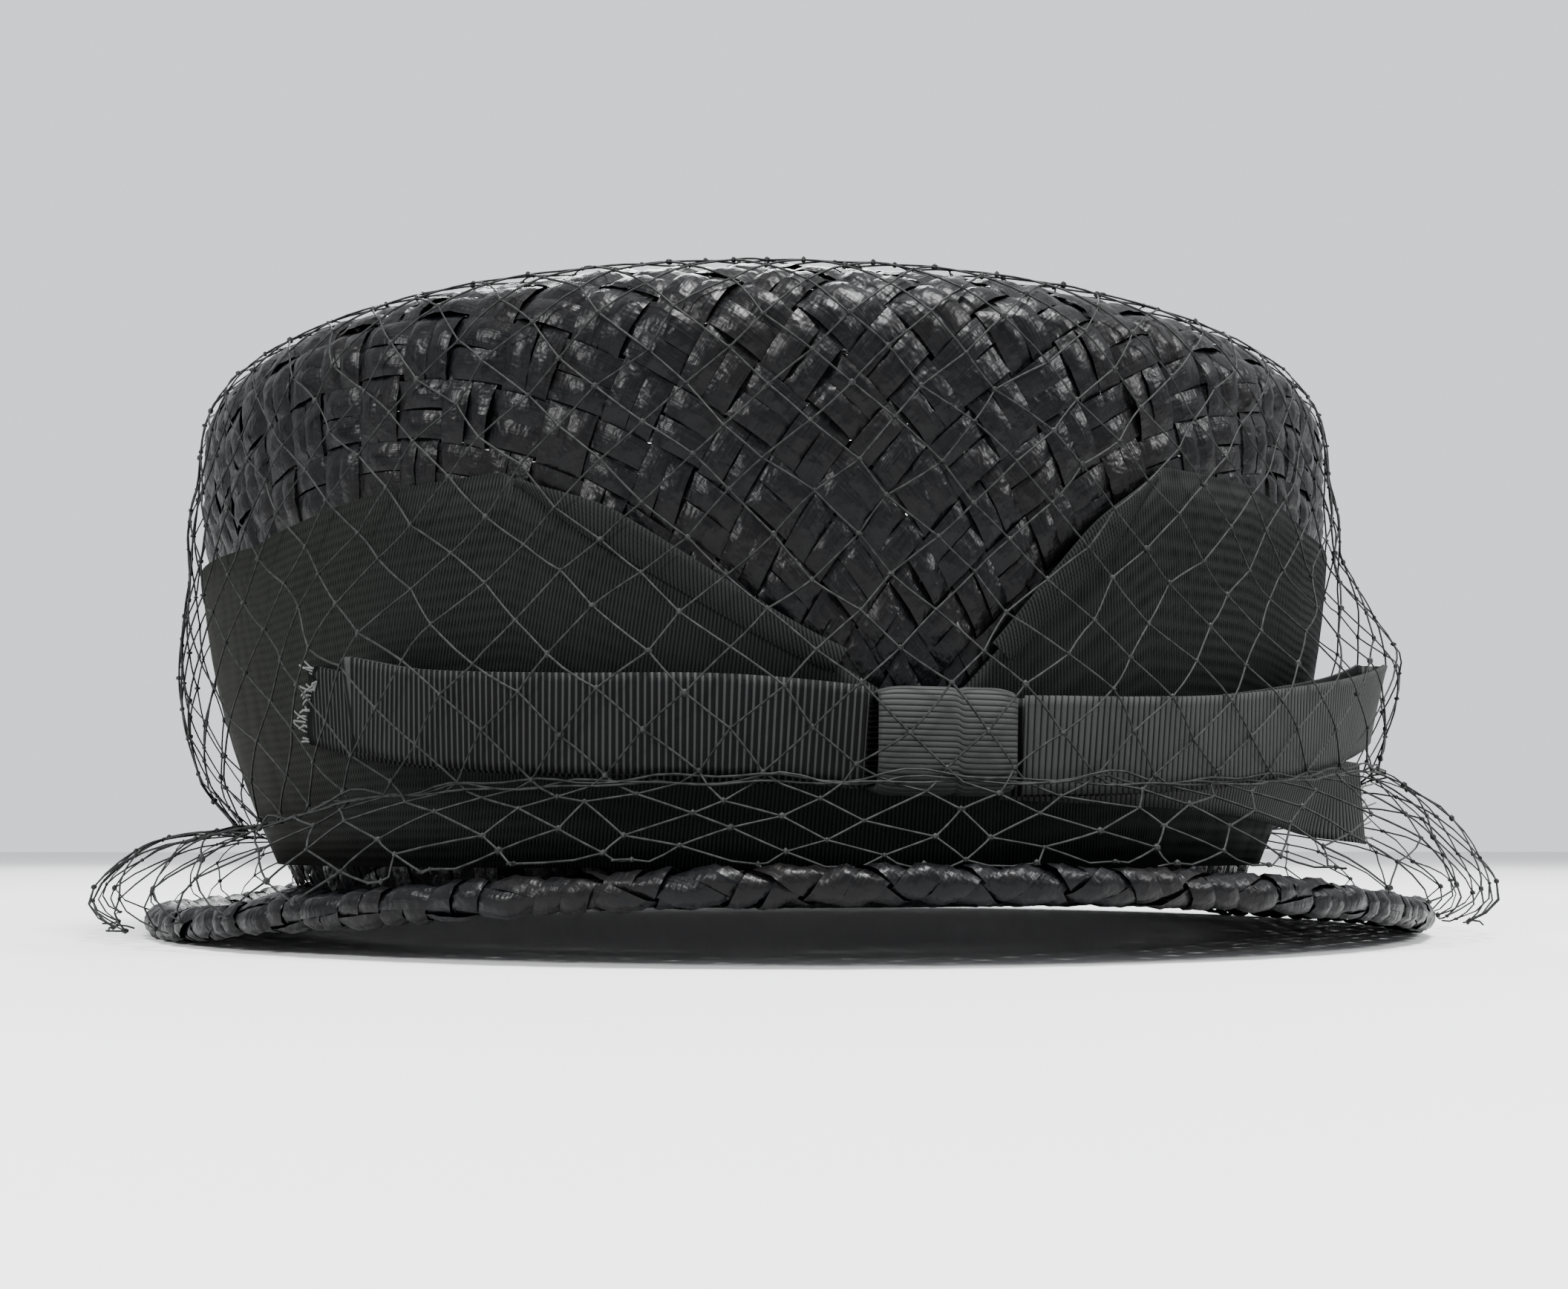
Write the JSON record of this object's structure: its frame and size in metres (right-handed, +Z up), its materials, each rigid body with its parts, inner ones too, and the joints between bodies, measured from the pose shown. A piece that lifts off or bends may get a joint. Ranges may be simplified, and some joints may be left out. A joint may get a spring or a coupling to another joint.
{
  "type": "women's hat",
  "caption": "Black woven straw hat with a flared drum crown, narrow rolled brim, wide ribbon band with a V at the front, flat bow and a fine nose veil",
  "frame": {"origin": "centre of the overall outline seen from above, on the surface the hat rests on", "axes": "+Z up, -Y toward the front where the bow is, +X toward the wearer's left, which is the viewer's right from in front"},
  "size_m": [0.239, 0.2496, 0.1041],
  "materials": {
    "straw": "glossy flat black straw, two-by-two basket weave on the bias",
    "sweatband": "dull black ribbed ribbon",
    "label": "woven cream label, bare",
    "band_ribbon": "charcoal ribbed ribbon, fine diagonal ribs",
    "bow_ribbon": "dark grey grosgrain ribbon",
    "net": "fine open net, stored as its outer form"
  },
  "bodies": {
    "root": {"straw_crown": "straw", "straw_brim": "straw", "sweatband": "sweatband", "label": "label", "hat_band": "band_ribbon", "band_fold_left": "band_ribbon", "band_fold_right": "band_ribbon", "bow_loop_left": "bow_ribbon", "bow_loop_right": "bow_ribbon", "bow_knot": "bow_ribbon", "bow_tail_left": "bow_ribbon", "bow_tail_right": "bow_ribbon", "veil": "net"}
  },
  "joints": []
}
